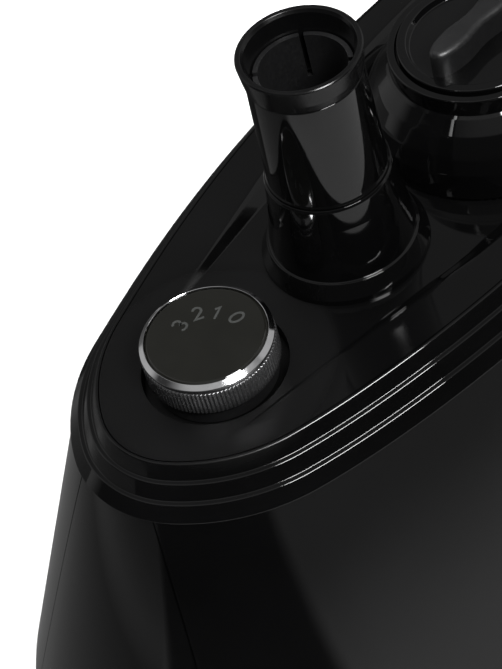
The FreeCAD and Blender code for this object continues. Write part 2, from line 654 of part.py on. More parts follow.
def steam_pipe():
    """Steam tube from the boiler lid up to the barb of the steam nozzle."""
    low = BOILER[5] + 14
    return pipe([V(-14, -64, low), V(-14, -64, 92), V(0, HOSE_Y, 92), V(0, HOSE_Y, 104)],
                5.5, 3.5, 7.0)


def drain_plug():
    """Slotted plug that empties the boiler through the base plate."""
    z0 = BOILER[4]
    plug = cyl(8, z0 - 18, z0 - 14, 0, DRAIN_Y).fuse(cyl(4, z0 - 14, z0 + 6, 0, DRAIN_Y))
    return plug.cut(block(-9, 9, DRAIN_Y - 1, DRAIN_Y + 1, z0 - 19, z0 - 16.5))


def base_screws():
    """Heads of the four screws that hold the tank cradle from below."""
    places = [(-67, 17), (67, 17), (-67, 85), (67, 85)]
    return Part.makeCompound([cyl(3.5, SHELL_FOOT_Z - 2, SHELL_FOOT_Z, x, y) for x, y in places])


def terminal_block():
    """Mains terminal strip on the base plate."""
    body = block(-92, -72, -40, -14, SHELL_FOOT_Z + 4, SHELL_FOOT_Z + 20)
    for i in range(3):
        body = body.cut(cyl(2.2, 20, 30, -77, -34 + 7 * i)).cut(cyl(2.2, 20, 30, -87, -34 + 7 * i))
    return body


def cord_gland():
    """Mains inlet gland through the tail panel."""
    y = 174.0
    body = rod_y(9, y - 14, y + 6, GLAND_X, GLAND_Z).fuse(rod_y(12, y + 5, y + 9, GLAND_X, GLAND_Z))
    return body.cut(rod_y(3.6, y - 20, y + 10, GLAND_X, GLAND_Z))


PARTS = {
    "top_cover": top_cover, "base_plate": base_plate,
    "dial_ring": dial_ring, "dial_glass": dial_glass, "dial_hub": dial_hub, "dial_skirt": dial_skirt,
    "switch_shaft": switch_shaft, "rotary_switch": rotary_switch, "switch_nut": switch_nut,
    "hose_socket": hose_socket, "socket_sleeve": socket_sleeve, "lock_collar": lock_collar,
    "grip_sleeve": grip_sleeve, "steam_nozzle": steam_nozzle, "nozzle_seal": nozzle_seal,
    "socket_nut": socket_nut,
    "filler_drum": filler_drum, "filler_cap": filler_cap, "cap_seal": cap_seal,
    "tank_tub": tank_tub, "tank_top": tank_top, "filler_neck": filler_neck, "tank_cradle": tank_cradle,
    "boiler_body": boiler_body, "boiler_lid": boiler_lid, "boiler_gasket": boiler_gasket,
    "boiler_screws": boiler_screws, "heater_element": heater_element,
    "thermostat": thermostat, "thermal_fuse": thermal_fuse,
    "feed_valve": feed_valve, "feed_tube": feed_tube, "steam_pipe": steam_pipe,
    "drain_plug": drain_plug, "base_screws": base_screws,
    "terminal_block": terminal_block, "cord_gland": cord_gland,
    "axle": axle, "axle_caps": axle_caps, "rubber_feet": rubber_feet,
}


def main():
    """Build every piece and write one STEP file for each."""
    os.makedirs("parts", exist_ok=True)
    shapes = {name: make() for name, make in PARTS.items()}
    shapes.update(housing_shells())
    for name, side in (("left", -1), ("right", 1)):
        shapes["wheel_" + name] = wheel(side)
        shapes["tyre_" + name] = tyre(side)
    for name, shape in shapes.items():
        shape.exportStep("parts/" + name + ".step")
        print(name, "valid" if shape.isValid() else "NOT VALID", len(shape.Solids), "solids",
              round(shape.Volume / 1000, 2), "cm3")


main()
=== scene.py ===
"""Looks of a garment steamer base: glossy black shells, knurled chrome dial, hose column, filler drum.

Lengths are millimetres in the part's frame and become metres where a mesh is made.
"""
import json
import math

import bpy
import numpy as np
from mathutils import Matrix, Vector
from mathutils.geometry import delaunay_2d_cdt

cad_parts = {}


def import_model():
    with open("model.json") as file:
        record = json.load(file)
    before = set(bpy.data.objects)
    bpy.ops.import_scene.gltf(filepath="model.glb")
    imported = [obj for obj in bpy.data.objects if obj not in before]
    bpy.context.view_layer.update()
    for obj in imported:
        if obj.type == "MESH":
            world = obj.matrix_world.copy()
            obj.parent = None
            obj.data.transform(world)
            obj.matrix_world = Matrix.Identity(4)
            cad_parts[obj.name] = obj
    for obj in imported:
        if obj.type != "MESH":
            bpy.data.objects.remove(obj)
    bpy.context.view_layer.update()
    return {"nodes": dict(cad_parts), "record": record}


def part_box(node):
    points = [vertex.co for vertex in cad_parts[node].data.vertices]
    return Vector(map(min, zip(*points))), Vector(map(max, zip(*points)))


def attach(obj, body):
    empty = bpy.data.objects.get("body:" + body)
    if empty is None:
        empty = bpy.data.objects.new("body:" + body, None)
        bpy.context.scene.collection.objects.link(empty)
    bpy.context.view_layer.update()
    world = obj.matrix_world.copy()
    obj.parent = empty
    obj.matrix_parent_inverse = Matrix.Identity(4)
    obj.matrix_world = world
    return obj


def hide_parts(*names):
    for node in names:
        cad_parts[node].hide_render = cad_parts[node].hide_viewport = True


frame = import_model()
MM = 0.001


# ---- places read from the frame -----------------------------------------------------------
def low(node):
    """Lowest corner of a CAD node in millimetres."""
    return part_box(node)[0] / MM


def high(node):
    """Highest corner of a CAD node in millimetres."""
    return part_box(node)[1] / MM


def middle(node):
    """Plan centre of a CAD node in millimetres."""
    centre = (low(node) + high(node)) / 2
    return (centre.x, centre.y)


DIAL = middle("dial_glass")
HOSE = middle("hose_socket")
DRUM = middle("filler_drum")
GLASS_TOP = high("dial_glass").z
GLASS_OVER_DECK = 14.5
DECK = GLASS_TOP - GLASS_OVER_DECK
FOOT_Z = low("nose_panel").z
HOSE_TOP = high("lock_collar").z
SLEEVE_TOP = high("socket_sleeve").z
DRUM_TOP = high("filler_drum").z

# ---- plan outline of the deck: tangent arcs (centre x, centre y, radius), +X half -----------
NOSE = (0.0, -98.0, 29.0)
SIDE = (-369.0, 41.0, 430.0)
TAIL = (0.0, 47.0, 80.0)
SHOULDER_R = 58.0
CORNER_R = 38.0

# ---- shells: skirt under the lip, flaring outwards; seams; thickness ------------------------
WALL = 3.0
LIP_DROP = 15.0
LIP_GAP = 0.35
SKIRT_OFFSET = 11.0
FLARE = 0.37
SEAM = 0.4
TAIL_HALF = 46.0

# ---- deck: rim level up to RISE_Y and climbing behind it; sunken panel's right-hand corners -
RISE_Y, RISE, RISE_BLEND = -85.0, 0.067, 7.0
PANEL = ((28.0, -75.0), (37.5, -5.0), (37.0, 68.0))
PANEL_BULGE = 1.2
BANK_RUN_PER_RISE = 1.2
WELL_R = 24.0
WELL_DEPTH = 5.0
BUSH_R = 4.7
SOCKET_HOLE_R = 20.2
DRUM_HOLE_R = 36.2
DRUM_R = 43.0
DRUM_RIM_R = 30.2
DRUM_GAP = 0.3


def meet(c1, r1, c2, r2):
    """Meeting point of two circles, on the right of the line from c1 to c2."""
    dx, dy = c2[0] - c1[0], c2[1] - c1[1]
    gap = math.hypot(dx, dy)
    along = (r1 * r1 - r2 * r2 + gap * gap) / (2 * gap)
    off = -math.sqrt(r1 * r1 - along * along)
    return (c1[0] + (along * dx - off * dy) / gap, c1[1] + (along * dy + off * dx) / gap)


SHOULDER = meet(NOSE, SHOULDER_R - NOSE[2], SIDE, SIDE[2] - SHOULDER_R) + (SHOULDER_R,)
CORNER = meet(TAIL, TAIL[2] - CORNER_R, SIDE, SIDE[2] - CORNER_R) + (CORNER_R,)


def heading(start, end):
    """Angle of the line from one centre to another."""
    return math.atan2(end[1] - start[1], end[0] - start[0])


ARCS = [(NOSE, -math.pi / 2), (SHOULDER, heading(SHOULDER, NOSE)), (SIDE, heading(SIDE, SHOULDER)),
        (CORNER, heading(SIDE, CORNER)), (TAIL, heading(TAIL, CORNER))]


def oval(angle, offset):
    """Point of the deck outline whose outward normal has this angle, moved out by offset."""
    side = 1.0 if math.cos(angle) >= 0 else -1.0
    a = math.atan2(math.sin(angle), side * math.cos(angle))
    circle = [c for c, start in ARCS if a >= start - 1e-9][-1]
    reach = circle[2] + offset
    return (side * (circle[0] + reach * math.cos(a)), circle[1] + reach * math.sin(a))


def oval_angles(step):
    """Normal angles all round the outline, about step millimetres apart."""
    half = []
    ends = [start for _, start in ARCS[1:]] + [math.pi / 2]
    for (circle, start), end in zip(ARCS, ends):
        count = max(6, round(circle[2] * (end - start) / step))
        half += [start + (end - start) * i / count for i in range(count)]
    other = [math.pi - a for a in half[:0:-1]]
    return half + [math.pi / 2] + other


def climb(y):
    """Height that the rim has gained at y."""
    t = (y - RISE_Y) / RISE_BLEND
    return RISE * RISE_BLEND * (t if t > 30 else math.log1p(math.exp(t)))


def climb_slope(y):
    """Slope of the climbing rim at y."""
    t = (y - RISE_Y) / RISE_BLEND
    return RISE / (1 + math.exp(-max(min(t, 60), -60)))


# ---- mesh makers --------------------------------------------------------------------------
def link_object(name, data):
    """New object in the scene holding a mesh, a light or a camera."""
    obj = bpy.data.objects.new(name, data)
    bpy.context.scene.collection.objects.link(obj)
    return obj


def creased_object(name, points, faces, crease):
    """Mesh object of points in millimetres, smooth except at edges sharper than crease degrees."""
    mesh = bpy.data.meshes.new(name)
    mesh.from_pydata([tuple(c * MM for c in p) for p in points], [], faces)
    mesh.shade_smooth()
    mesh.set_sharp_from_angle(angle=math.radians(crease))
    return link_object(name, mesh)


def ground_square(name, half, z=0.0):
    """Level square about the origin, in metres."""
    mesh = bpy.data.meshes.new(name)
    mesh.from_pydata([(-half, -half, z), (half, -half, z), (half, half, z), (-half, half, z)], [],
                     [(0, 1, 2, 3)])
    return link_object(name, mesh)


def rounded(corners, steps=5):
    """Strips ((point, normal), (point, normal)) of a closed profile with corners (out, up, radius)."""
    n = len(corners)
    runs = []
    for i in range(n):
        p = Vector(corners[i][:2])
        before = Vector(corners[i - 1][:2])
        after = Vector(corners[(i + 1) % n][:2])
        into, out = (p - before).normalized(), (after - p).normalized()
        n_in, n_out = Vector((into.y, -into.x)), Vector((out.y, -out.x))
        turn = math.atan2(into.x * out.y - into.y * out.x, into.dot(out))
        slant = abs(math.tan(turn / 2))
        reach = min(corners[i][2] * slant, 0.48 * (p - before).length, 0.48 * (after - p).length)
        if reach < 1e-6 or abs(turn) < 1e-4:
            runs.append([(p, n_in), (p, n_out)])
            continue
        radius = reach / slant
        sign = 1 if turn > 0 else -1
        centre = p - into * reach - n_in * radius * sign
        points = []
        for k in range(steps + 1):
            spin = Matrix.Rotation(turn * k / steps, 2)
            normal = spin @ n_in
            points.append((centre + normal * radius * sign, normal))
        runs.append(points)
    strips = []
    for i in range(n):
        run, following = runs[i], runs[(i + 1) % n]
        if len(run) > 2:
            strips += list(zip(run, run[1:]))
        strips.append((run[-1], following[0]))
    return [s for s in strips if (s[0][0] - s[1][0]).length > 1e-7]


def new_object(name, *shells):
    """Mesh object of shells (points in millimetres, faces, corner normals), joined where they meet."""
    index, points, faces, normals = {}, [], [], []
    for shell_points, shell_faces, shell_normals in shells:
        place = []
        for p in shell_points:
            key = tuple(round(c, 4) for c in p)
            if key not in index:
                index[key] = len(points)
                points.append(tuple(c * MM for c in p))
            place.append(index[key])
        faces += [[place[i] for i in face] for face in shell_faces]
        normals += shell_normals
    mesh = bpy.data.meshes.new(name)
    mesh.from_pydata(points, [], faces)
    mesh.shade_smooth()
    mesh.validate()
    mesh.normals_split_custom_set(normals)
    return link_object(name, mesh)


def sweep(strips, outline, angles, rises=False):
    """Shell of profile strips carried round an outline; the profile is (outward, height)."""
    points, faces, normals = [], [], []
    count = len(angles)
    tilts = [(math.cos(a), math.sin(a)) for a in angles]

    def place(p, j):
        """Point and its lift for profile point p at place j round the outline."""
        x, y = outline(angles[j], p.x)
        return (x, y, p.y + (climb(y) if rises else 0))

    def normal(n, j, y):
        """Surface normal for profile normal n at place j."""
        slope = climb_slope(y) if rises else 0
        return Vector((n.x * tilts[j][0], n.x * tilts[j][1] - slope * n.y, n.y)).normalized()

    for (p, p_normal), (q, q_normal) in strips:
        low_row = [place(p, j) for j in range(count)]
        high_row = [place(q, j) for j in range(count)]
        for j in range(count):
            k = (j + 1) % count
            corners = [(low_row[j], p_normal, j), (low_row[k], p_normal, k),
                       (high_row[k], q_normal, k), (high_row[j], q_normal, j)]
            shut = [math.dist(row[j], row[k]) < 1e-5 for row in (low_row, high_row)]
            if all(shut):
                continue
            if any(shut):
                corners.pop(1 if shut[0] else 2)
            faces.append(list(range(len(points), len(points) + len(corners))))
            points += [c[0] for c in corners]
            normals += [normal(n, i, c[1]) for c, n, i in corners]
    return points, faces, normals


def circle_at(centre):
    """Outline function of circles about a plan centre."""
    def outline(angle, radius):
        return (centre[0] + radius * math.cos(angle), centre[1] + radius * math.sin(angle))
    return outline


def turn_angles(count):
    """Evenly spaced angles round a full turn."""
    return [2 * math.pi * i / count for i in range(count)]


def lathe(name, corners, centre, count=160, steps=5):
    """Turned solid from closed profile corners (radius, height, rounding), counter-clockwise."""
    return new_object(name, sweep(rounded(corners, steps), circle_at(centre), turn_angles(count)))


def facet_normal(points):
    """Normal of a flat facet."""
    total = Vector()
    for a, b in zip(points, points[1:] + points[:1]):
        total += Vector(a).cross(Vector(b))
    return total.normalized()


def wall_shell(outer, inner):
    """Closed shell between two equal grids of (point, normal); rows run down, columns to the left."""
    rows, columns = len(outer), len(outer[0])
    points, faces, normals = [], [], []

    def put(corners, shades):
        """Add one face."""
        faces.append(list(range(len(points), len(points) + len(corners))))
        points.extend(corners)
        normals.extend(shades)

    for r in range(rows - 1):
        for c in range(columns - 1):
            quad = [(r, c), (r + 1, c), (r + 1, c + 1), (r, c + 1)]
            put([outer[i][j][0] for i, j in quad], [outer[i][j][1] for i, j in quad])
            put([inner[i][j][0] for i, j in quad[::-1]], [-inner[i][j][1] for i, j in quad[::-1]])
    border = [(r, 0) for r in range(rows)] + [(rows - 1, c) for c in range(1, columns)]
    border += [(r, columns - 1) for r in range(rows - 2, -1, -1)]
    border += [(0, c) for c in range(columns - 2, -1, -1)]
    for (i, j), (k, m) in zip(border, border[1:]):
        corners = [outer[k][m][0], outer[i][j][0], inner[i][j][0], inner[k][m][0]]
        put(corners, [facet_normal(corners)] * 4)
    return points, faces, normals


def finish_piece(obj, body, material, slot, *replaced):
    """Give a piece its material and body, and hide what it stands for; its slot is not used."""
    obj.data.materials.clear()
    obj.data.materials.append(material)
    if replaced:
        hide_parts(*replaced)
    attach(obj, body)
    return obj


# ---- materials ----------------------------------------------------------------------------
NOISE_SPAN = (0.3, 0.7)
# Inner and outer radius from the dial of the deck's finger-dulled ring, whose lowered reflection there is
# painted shade
WORN_SHADED_R, CLEAN_UNSHADED_R = 37, 45


def material(name, base, roughness, metallic=0.0, ior=1.5):
    """Principled material with its constants on the shader's own sockets."""
    mat = bpy.data.materials.new(name)
    mat.use_nodes = True
    shader = mat.node_tree.nodes["Principled BSDF"]
    shader.inputs["Base Color"].default_value = (*base, 1)
    shader.inputs["Roughness"].default_value = roughness
    shader.inputs["Metallic"].default_value = metallic
    shader.inputs["IOR"].default_value = ior
    return mat


def math_node(tree, kind, first, second):
    """Math node on two values or sockets."""
    node = tree.nodes.new("ShaderNodeMath")
    node.operation = kind
    for socket, value in zip(node.inputs, (first, second)):
        if isinstance(value, (int, float)):
            socket.default_value = value
        else:
            tree.links.new(value, socket)
    return node.outputs[0]


def ramp(tree, value, low_in, high_in, low_out, high_out):
    """Smooth clamped ramp of a socket."""
    node = tree.nodes.new("ShaderNodeMapRange")
    node.interpolation_type = "SMOOTHSTEP"
    ends = (("From Min", low_in), ("From Max", high_in), ("To Min", low_out), ("To Max", high_out))
    for socket, level in ends:
        node.inputs[socket].default_value = level
    tree.links.new(value, node.inputs["Value"])
    return node.outputs["Result"]


def direction_ramp(tree, vector, towards, low_in, high_in, low_out, high_out):
    """Ramp on how far a direction points towards another."""
    lean = tree.nodes.new("ShaderNodeVectorMath")
    lean.operation = "DOT_PRODUCT"
    lean.inputs[1].default_value = towards
    tree.links.new(vector, lean.inputs[0])
    return ramp(tree, lean.outputs["Value"], low_in, high_in, low_out, high_out)


def noise(mat, scale, detail=3.0):
    """Noise in object space, scale in features per metre."""
    nodes, links = mat.node_tree.nodes, mat.node_tree.links
    place = nodes.new("ShaderNodeTexCoord")
    grain = nodes.new("ShaderNodeTexNoise")
    grain.inputs["Scale"].default_value = scale
    grain.inputs["Detail"].default_value = detail
    links.new(place.outputs["Object"], grain.inputs["Vector"])
    return grain.outputs["Fac"]


def vary_roughness(mat, factor, lowest, highest):
    """Let a factor drive the roughness between two values."""
    nodes, links = mat.node_tree.nodes, mat.node_tree.links
    span = nodes.new("ShaderNodeMapRange")
    span.inputs["From Min"].default_value, span.inputs["From Max"].default_value = NOISE_SPAN
    span.inputs["To Min"].default_value = lowest
    span.inputs["To Max"].default_value = highest
    links.new(factor, span.inputs["Value"])
    links.new(span.outputs["Result"], nodes["Principled BSDF"].inputs["Roughness"])


def vary_colour(mat, factor, dark, light):
    """Let a factor drive the base colour between two colours."""
    nodes, links = mat.node_tree.nodes, mat.node_tree.links
    bands = nodes.new("ShaderNodeValToRGB")
    for stop, position, colour in zip(bands.color_ramp.elements, NOISE_SPAN, (dark, light)):
        stop.position = position
        stop.color = (*colour, 1)
    links.new(factor, bands.inputs["Fac"])
    links.new(bands.outputs["Color"], nodes["Principled BSDF"].inputs["Base Color"])


def add_bump(mat, factor, strength, distance):
    """Bump from a factor; distance in millimetres."""
    nodes, links = mat.node_tree.nodes, mat.node_tree.links
    bump = nodes.new("ShaderNodeBump")
    bump.inputs["Strength"].default_value = strength
    bump.inputs["Distance"].default_value = distance * MM
    links.new(factor, bump.inputs["Height"])
    links.new(bump.outputs["Normal"], nodes["Principled BSDF"].inputs["Normal"])


def gloss_black():
    """High-gloss moulded black with faint flow variation and orange peel."""
    mat = material("gloss_black", (0.0012, 0.0012, 0.0013), 0.05, ior=1.46)
    vary_roughness(mat, noise(mat, 55, 4), 0.03, 0.07)
    vary_colour(mat, noise(mat, 20, 2), (0.0009, 0.0009, 0.0009), (0.0016, 0.0016, 0.0017))
    add_bump(mat, noise(mat, 90, 1), 0.06, 0.05)
    return mat


def handled_shaded_black():
    """Gloss black of the deck, dulled by fingers out to the inner ring radius from the dial and clean by
    the outer; over that ring its reflection is also weakened, a painted shade that darkens the deck round
    the dial.
    """
    mat = gloss_black()
    mat.name = "gloss_black_handled_shaded"
    tree = mat.node_tree
    shader = tree.nodes["Principled BSDF"]
    roughness = shader.inputs["Roughness"]
    place = tree.nodes.new("ShaderNodeTexCoord")
    away = tree.nodes.new("ShaderNodeVectorMath")
    away.operation = "DISTANCE"
    away.inputs[1].default_value = (DIAL[0] * MM, DIAL[1] * MM, DECK * MM)
    tree.links.new(place.outputs["Object"], away.inputs[0])
    wear_and_shade = ramp(tree, away.outputs["Value"], WORN_SHADED_R * MM, CLEAN_UNSHADED_R * MM, 0.42, 0.0)
    tree.links.new(math_node(tree, "MAXIMUM", wear_and_shade, roughness.links[0].from_socket), roughness)
    # Weaker reflection over the ring: painted shade darkening the deck round the dial
    shaded_reflection_level = math_node(tree, "SUBTRACT", 0.5, math_node(tree, "MULTIPLY", wear_and_shade, 0.4))
    tree.links.new(shaded_reflection_level, shader.inputs["Specular IOR Level"])
    return mat


def satin_black():
    """Fine-textured black moulding."""
    mat = material("satin_black", (0.006, 0.006, 0.0062), 0.38)
    vary_roughness(mat, noise(mat, 900), 0.3, 0.46)
    vary_colour(mat, noise(mat, 40), (0.0045, 0.0045, 0.0047), (0.008, 0.008, 0.0083))
    add_bump(mat, noise(mat, 2500, 2), 0.25, 0.05)
    return mat


def collar_black():
    """Smooth black of the twist collar, less bright than the shells."""
    mat = material("collar_black", (0.002, 0.002, 0.0021), 0.2, ior=1.38)
    vary_roughness(mat, noise(mat, 300), 0.17, 0.25)
    vary_colour(mat, noise(mat, 60), (0.0015, 0.0015, 0.0016), (0.0025, 0.0025, 0.0026))
    add_bump(mat, noise(mat, 1200, 2), 0.08, 0.03)
    return mat


def chrome():
    """Bright plating with hairline polish marks."""
    mat = material("chrome", (0.72, 0.72, 0.73), 0.08, metallic=1.0)
    vary_roughness(mat, noise(mat, 700, 5), 0.05, 0.14)
    vary_colour(mat, noise(mat, 200), (0.66, 0.66, 0.67), (0.78, 0.78, 0.79))
    add_bump(mat, noise(mat, 3000, 2), 0.04, 0.02)
    return mat


def knurl_metal():
    """Satin plating of the knurled band."""
    mat = material("knurl_metal", (0.15, 0.15, 0.153), 0.28, metallic=0.9)
    vary_roughness(mat, noise(mat, 900, 5), 0.24, 0.34)
    vary_colour(mat, noise(mat, 500), (0.13, 0.13, 0.133), (0.18, 0.18, 0.183))
    add_bump(mat, noise(mat, 4000, 2), 0.05, 0.02)
    return mat


def dark_glass():
    """Dark grey back-painted glass of the dial."""
    mat = material("dark_glass", (0.0047, 0.0047, 0.0039), 0.04)
    vary_roughness(mat, noise(mat, 150, 4), 0.03, 0.06)
    vary_colour(mat, noise(mat, 70, 3), (0.0042, 0.0042, 0.0034), (0.0052, 0.0052, 0.0043))
    return mat


def print_grey():
    """Grey ink of the dial numbers."""
    mat = material("print_grey", (0.022, 0.023, 0.022), 0.35)
    vary_colour(mat, noise(mat, 3000), (0.018, 0.019, 0.018), (0.028, 0.029, 0.028))
    vary_roughness(mat, noise(mat, 2500), 0.3, 0.4)
    return mat


def plain(name, base, roughness, metallic=0.0, grain=800, depth=0.04):
    """Material for the works inside and below: mottled colour, uneven gloss, fine grain."""
    mat = material(name, base, roughness, metallic)
    dark, light = [c * 0.85 for c in base], [min(1, c * 1.12) for c in base]
    vary_colour(mat, noise(mat, grain / 8), dark, light)
    vary_roughness(mat, noise(mat, grain / 2), roughness * 0.85, min(1, roughness * 1.15))
    add_bump(mat, noise(mat, grain, 2), 0.25, depth)
    return mat


BLACK = gloss_black()
HANDLED_SHADED = handled_shaded_black()
SATIN = satin_black()
COLLAR = collar_black()
CHROME = chrome()
KNURL = knurl_metal()
GLASS = dark_glass()
PRINT = print_grey()
WORKS = {
    "satin_black": SATIN, "gloss_black": BLACK, "dial_chrome": CHROME, "dial_glass": GLASS,
    "nylon": plain("nylon", (0.72, 0.71, 0.66), 0.45),
    "steel": plain("steel", (0.56, 0.56, 0.57), 0.28, 1.0, 1500, 0.02),
    "aluminium": plain("aluminium", (0.62, 0.62, 0.63), 0.5, 1.0, 600, 0.15),
    "rubber": plain("rubber", (0.018, 0.018, 0.018), 0.75, 0.0, 1800, 0.06),
    "tyre": plain("tyre", (0.022, 0.022, 0.023), 0.7, 0.0, 1600, 0.08),
    "silicone": plain("silicone", (0.7, 0.69, 0.66), 0.5, 0.0, 700, 0.02),
    "tank_plastic": plain("tank_plastic", (0.5, 0.56, 0.58), 0.3, 0.0, 300, 0.02),
    "element": plain("element", (0.2, 0.19, 0.18), 0.55, 0.6, 1200, 0.05),
    "phenolic": plain("phenolic", (0.045, 0.028, 0.02), 0.4, 0.0, 1500, 0.03),
}


def paint_cad_nodes():
    """Every carried-over CAD node gets its slot's procedural material."""
    slots = {part["node"]: part["material_slot"] for part in frame["record"]["subparts"]}
    for node, obj in frame["nodes"].items():
        obj.data.materials.clear()
        obj.data.materials.append(WORKS[slots[node]])


# ---- deck cover ---------------------------------------------------------------------------
# Tiered rim: (outward of the deck outline, height over the deck, rounding)
RIM = [(-1.2, 0.0, 0), (0.0, 0.0, 0.9), (2.7, -5.0, 0.5), (4.1, -5.15, 0.7), (6.9, -10.0, 0.5),
       (8.3, -10.15, 0.7), (12.4, -15.0, 0.35), (9.2, -15.0, 0), (-1.2, -3.0, 0)]
DECK_EDGE = -1.2


def circle_centre(a, b, c):
    """Centre of the circle through three plan points."""
    d = 2 * (a.x * (b.y - c.y) + b.x * (c.y - a.y) + c.x * (a.y - b.y))
    x = (a.dot(a) * (b.y - c.y) + b.dot(b) * (c.y - a.y) + c.dot(c) * (a.y - b.y)) / d
    y = (a.dot(a) * (c.x - b.x) + b.dot(b) * (a.x - c.x) + c.dot(c) * (b.x - a.x)) / d
    return Vector((x, y))


def panel_outline(step=1.0):
    """Sunken panel's outline as a closed list of points, right side first."""
    front, mid, back = (Vector(corner) for corner in PANEL)
    points = [front + (mid - front) * t for t in np.linspace(-0.3, 1, round(90 / step))]
    centre = circle_centre(mid, Vector((back.x + PANEL_BULGE, (mid.y + back.y) / 2)), back)
    radius = (mid - centre).length
    start, end = heading(centre, mid), heading(centre, back)
    for t in np.linspace(0, 1, round((back - mid).length / step))[1:]:
        angle = start + (end - start) * t
        points.append(centre + Vector((math.cos(angle), math.sin(angle))) * radius)
    xs = np.linspace(back.x, -back.x, round(2 * back.x / step))[1:-1]
    tail = [Vector((x, back.y)) for x in xs]
    left = [Vector((-p.x, p.y)) for p in reversed(points)]
    return np.array([tuple(p) for p in points + tail + left])


PANEL_LINE = panel_outline()


def inside(points, loop):
    """Whether plan points lie inside a closed loop."""
    result = np.zeros(len(points), bool)
    x, y = points[:, 0], points[:, 1]
    for (ax, ay), (bx, by) in zip(loop, np.roll(loop, -1, axis=0)):
        if ay != by:
            result ^= ((ay > y) != (by > y)) & (x < (bx - ax) * (y - ay) / (by - ay) + ax)
    return result


def panel_distance(points):
    """Signed distance of plan points to the panel outline, negative inside."""
    best = np.full(len(points), 1e9)
    x, y = points[:, 0], points[:, 1]
    for (ax, ay), (bx, by) in zip(PANEL_LINE, np.roll(PANEL_LINE, -1, axis=0)):
        dx, dy = bx - ax, by - ay
        t = np.clip(((x - ax) * dx + (y - ay) * dy) / (dx * dx + dy * dy), 0, 1)
        best = np.minimum(best, np.hypot(x - ax - t * dx, y - ay - t * dy))
    return np.where(inside(points, PANEL_LINE), -best, best)


def soft_min(a, b, k):
    """Smaller of two, rounded over k."""
    h = np.clip(0.5 + 0.5 * (b - a) / k, 0, 1)
    return b * (1 - h) + a * h - k * h * (1 - h)


def deck_height(points):
    """Height of the deck above the panel floor at plan points."""
    foot_soft, crest_soft, drum_soft, drum_slope = 0.35, 0.9, 0.5, 6
    rise = np.array([climb(y) for y in points[:, 1]])
    bank = -soft_min(-panel_distance(points) / BANK_RUN_PER_RISE, np.zeros(len(points)), foot_soft)
    height = np.maximum(soft_min(rise, bank, crest_soft), 0.0)
    from_drum = np.hypot(points[:, 0] - DRUM[0], points[:, 1] - DRUM[1]) - DRUM_R - DRUM_GAP
    return soft_min(height, np.maximum(from_drum * drum_slope, 0), drum_soft)


def deck_points(edge, holes):
    """Loose plan points of the deck top: an even spread, close rows along the bank and the drum."""
    half_width, half_length, spacing = 64, 128, 1.7
    spread = [(x, y) for x in np.arange(-half_width, half_width, spacing)
              for y in np.arange(-half_length, half_length, spacing)]
    drum_foot = [circle_at(DRUM)(t, DRUM_R + DRUM_GAP + d) for d in (0.0, 0.4, 0.8, 1.4, 2.2)
                 for t in turn_angles(220)]
    outward = np.roll(PANEL_LINE, -1, axis=0) - np.roll(PANEL_LINE, 1, axis=0)
    outward = np.stack([outward[:, 1], -outward[:, 0]], 1)
    outward /= np.linalg.norm(outward, axis=1)[:, None]
    rows = (-0.6, -0.2, 0.1, 0.5, 1.0, 1.6, 2.4, 3.3, 4.3, 5.4, 6.6, 8.0)
    banks = [tuple(p) for d in rows for p in PANEL_LINE + outward * d]
    loose = np.array(spread + drum_foot + banks)
    gap = np.min(np.hypot(loose[:, None, 0] - edge[None, ::2, 0],
                          loose[:, None, 1] - edge[None, ::2, 1]), axis=1)
    keep = inside(loose, edge) & (gap > 1.2)
    for centre, radius, _ in holes:
        keep &= np.hypot(loose[:, 0] - centre[0], loose[:, 1] - centre[1]) > radius + 0.4
    return loose[keep]


def deck_sheets(edge, holes):
    """Top and underside of the deck, and the walls of its round openings."""
    loops = [[tuple(p) for p in edge]]
    for centre, radius, count in holes:
        loops.append([circle_at(centre)(t, radius) for t in turn_angles(count)])
    flat, wires = [], []
    for loop in loops:
        start = len(flat)
        flat += loop
        wires += [(start + i, start + (i + 1) % len(loop)) for i in range(len(loop))]
    flat += [tuple(p) for p in deck_points(edge, holes)]
    _, _, triangles, sources, _, _ = delaunay_2d_cdt([Vector(p) for p in flat], wires, [], 0, 1e-5, True)
    flat = np.array(flat)
    plan = flat[[ids[0] for ids in sources]]
    centres = np.array([plan[list(t)].mean(0) for t in triangles])
    keep = inside(centres, edge)
    for centre, radius, _ in holes:
        keep &= np.hypot(centres[:, 0] - centre[0], centres[:, 1] - centre[1]) > radius - 1e-3
    triangles = [list(t) for t, k in zip(triangles, keep) if k]
    on_edge = np.array([ids[0] < len(edge) for ids in sources])
    rim_height = np.array([climb(y) for y in plan[:, 1]])
    height = DECK + np.where(on_edge, rim_height, deck_height(plan))
    step = 0.05
    slope_x = (deck_height(plan + [step, 0]) - deck_height(plan - [step, 0])) / (2 * step)
    slope_y = (deck_height(plan + [0, step]) - deck_height(plan - [0, step])) / (2 * step)
    shade = [Vector((-a, -b, 1)).normalized() for a, b in zip(slope_x, slope_y)]
    over = [(x, y, z) for (x, y), z in zip(plan, height)]
    under = [(x, y, z - WALL) for x, y, z in over]
    top = (over, triangles, [shade[i] for t in triangles for i in t])
    back = [t[::-1] for t in triangles]
    bottom = (under, back, [-shade[i] for t in back for i in t])
    level = {ids[0]: z for ids, z in zip(sources, height)}
    sheets = [top, bottom]
    start = len(edge)
    for (centre, _, count), loop in zip(holes, loops[1:]):
        if centre != DIAL:
            ring = [(x, y, level[start + i]) for i, (x, y) in enumerate(loop)]
            sheets.append(opening_wall(ring, centre))
        start += count
    return sheets


def opening_wall(ring, centre):
    """Wall of a round opening, from its upper ring of points down by the wall thickness."""
    points, faces, normals = [], [], []
    for p, q in zip(ring, ring[1:] + ring[:1]):
        faces.append(list(range(len(points), len(points) + 4)))
        points += [q, p, (p[0], p[1], p[2] - WALL), (q[0], q[1], q[2] - WALL)]
        inward = [Vector((centre[0] - c[0], centre[1] - c[1], 0)).normalized() for c in (q, p, p, q)]
        normals += inward
    return points, faces, normals


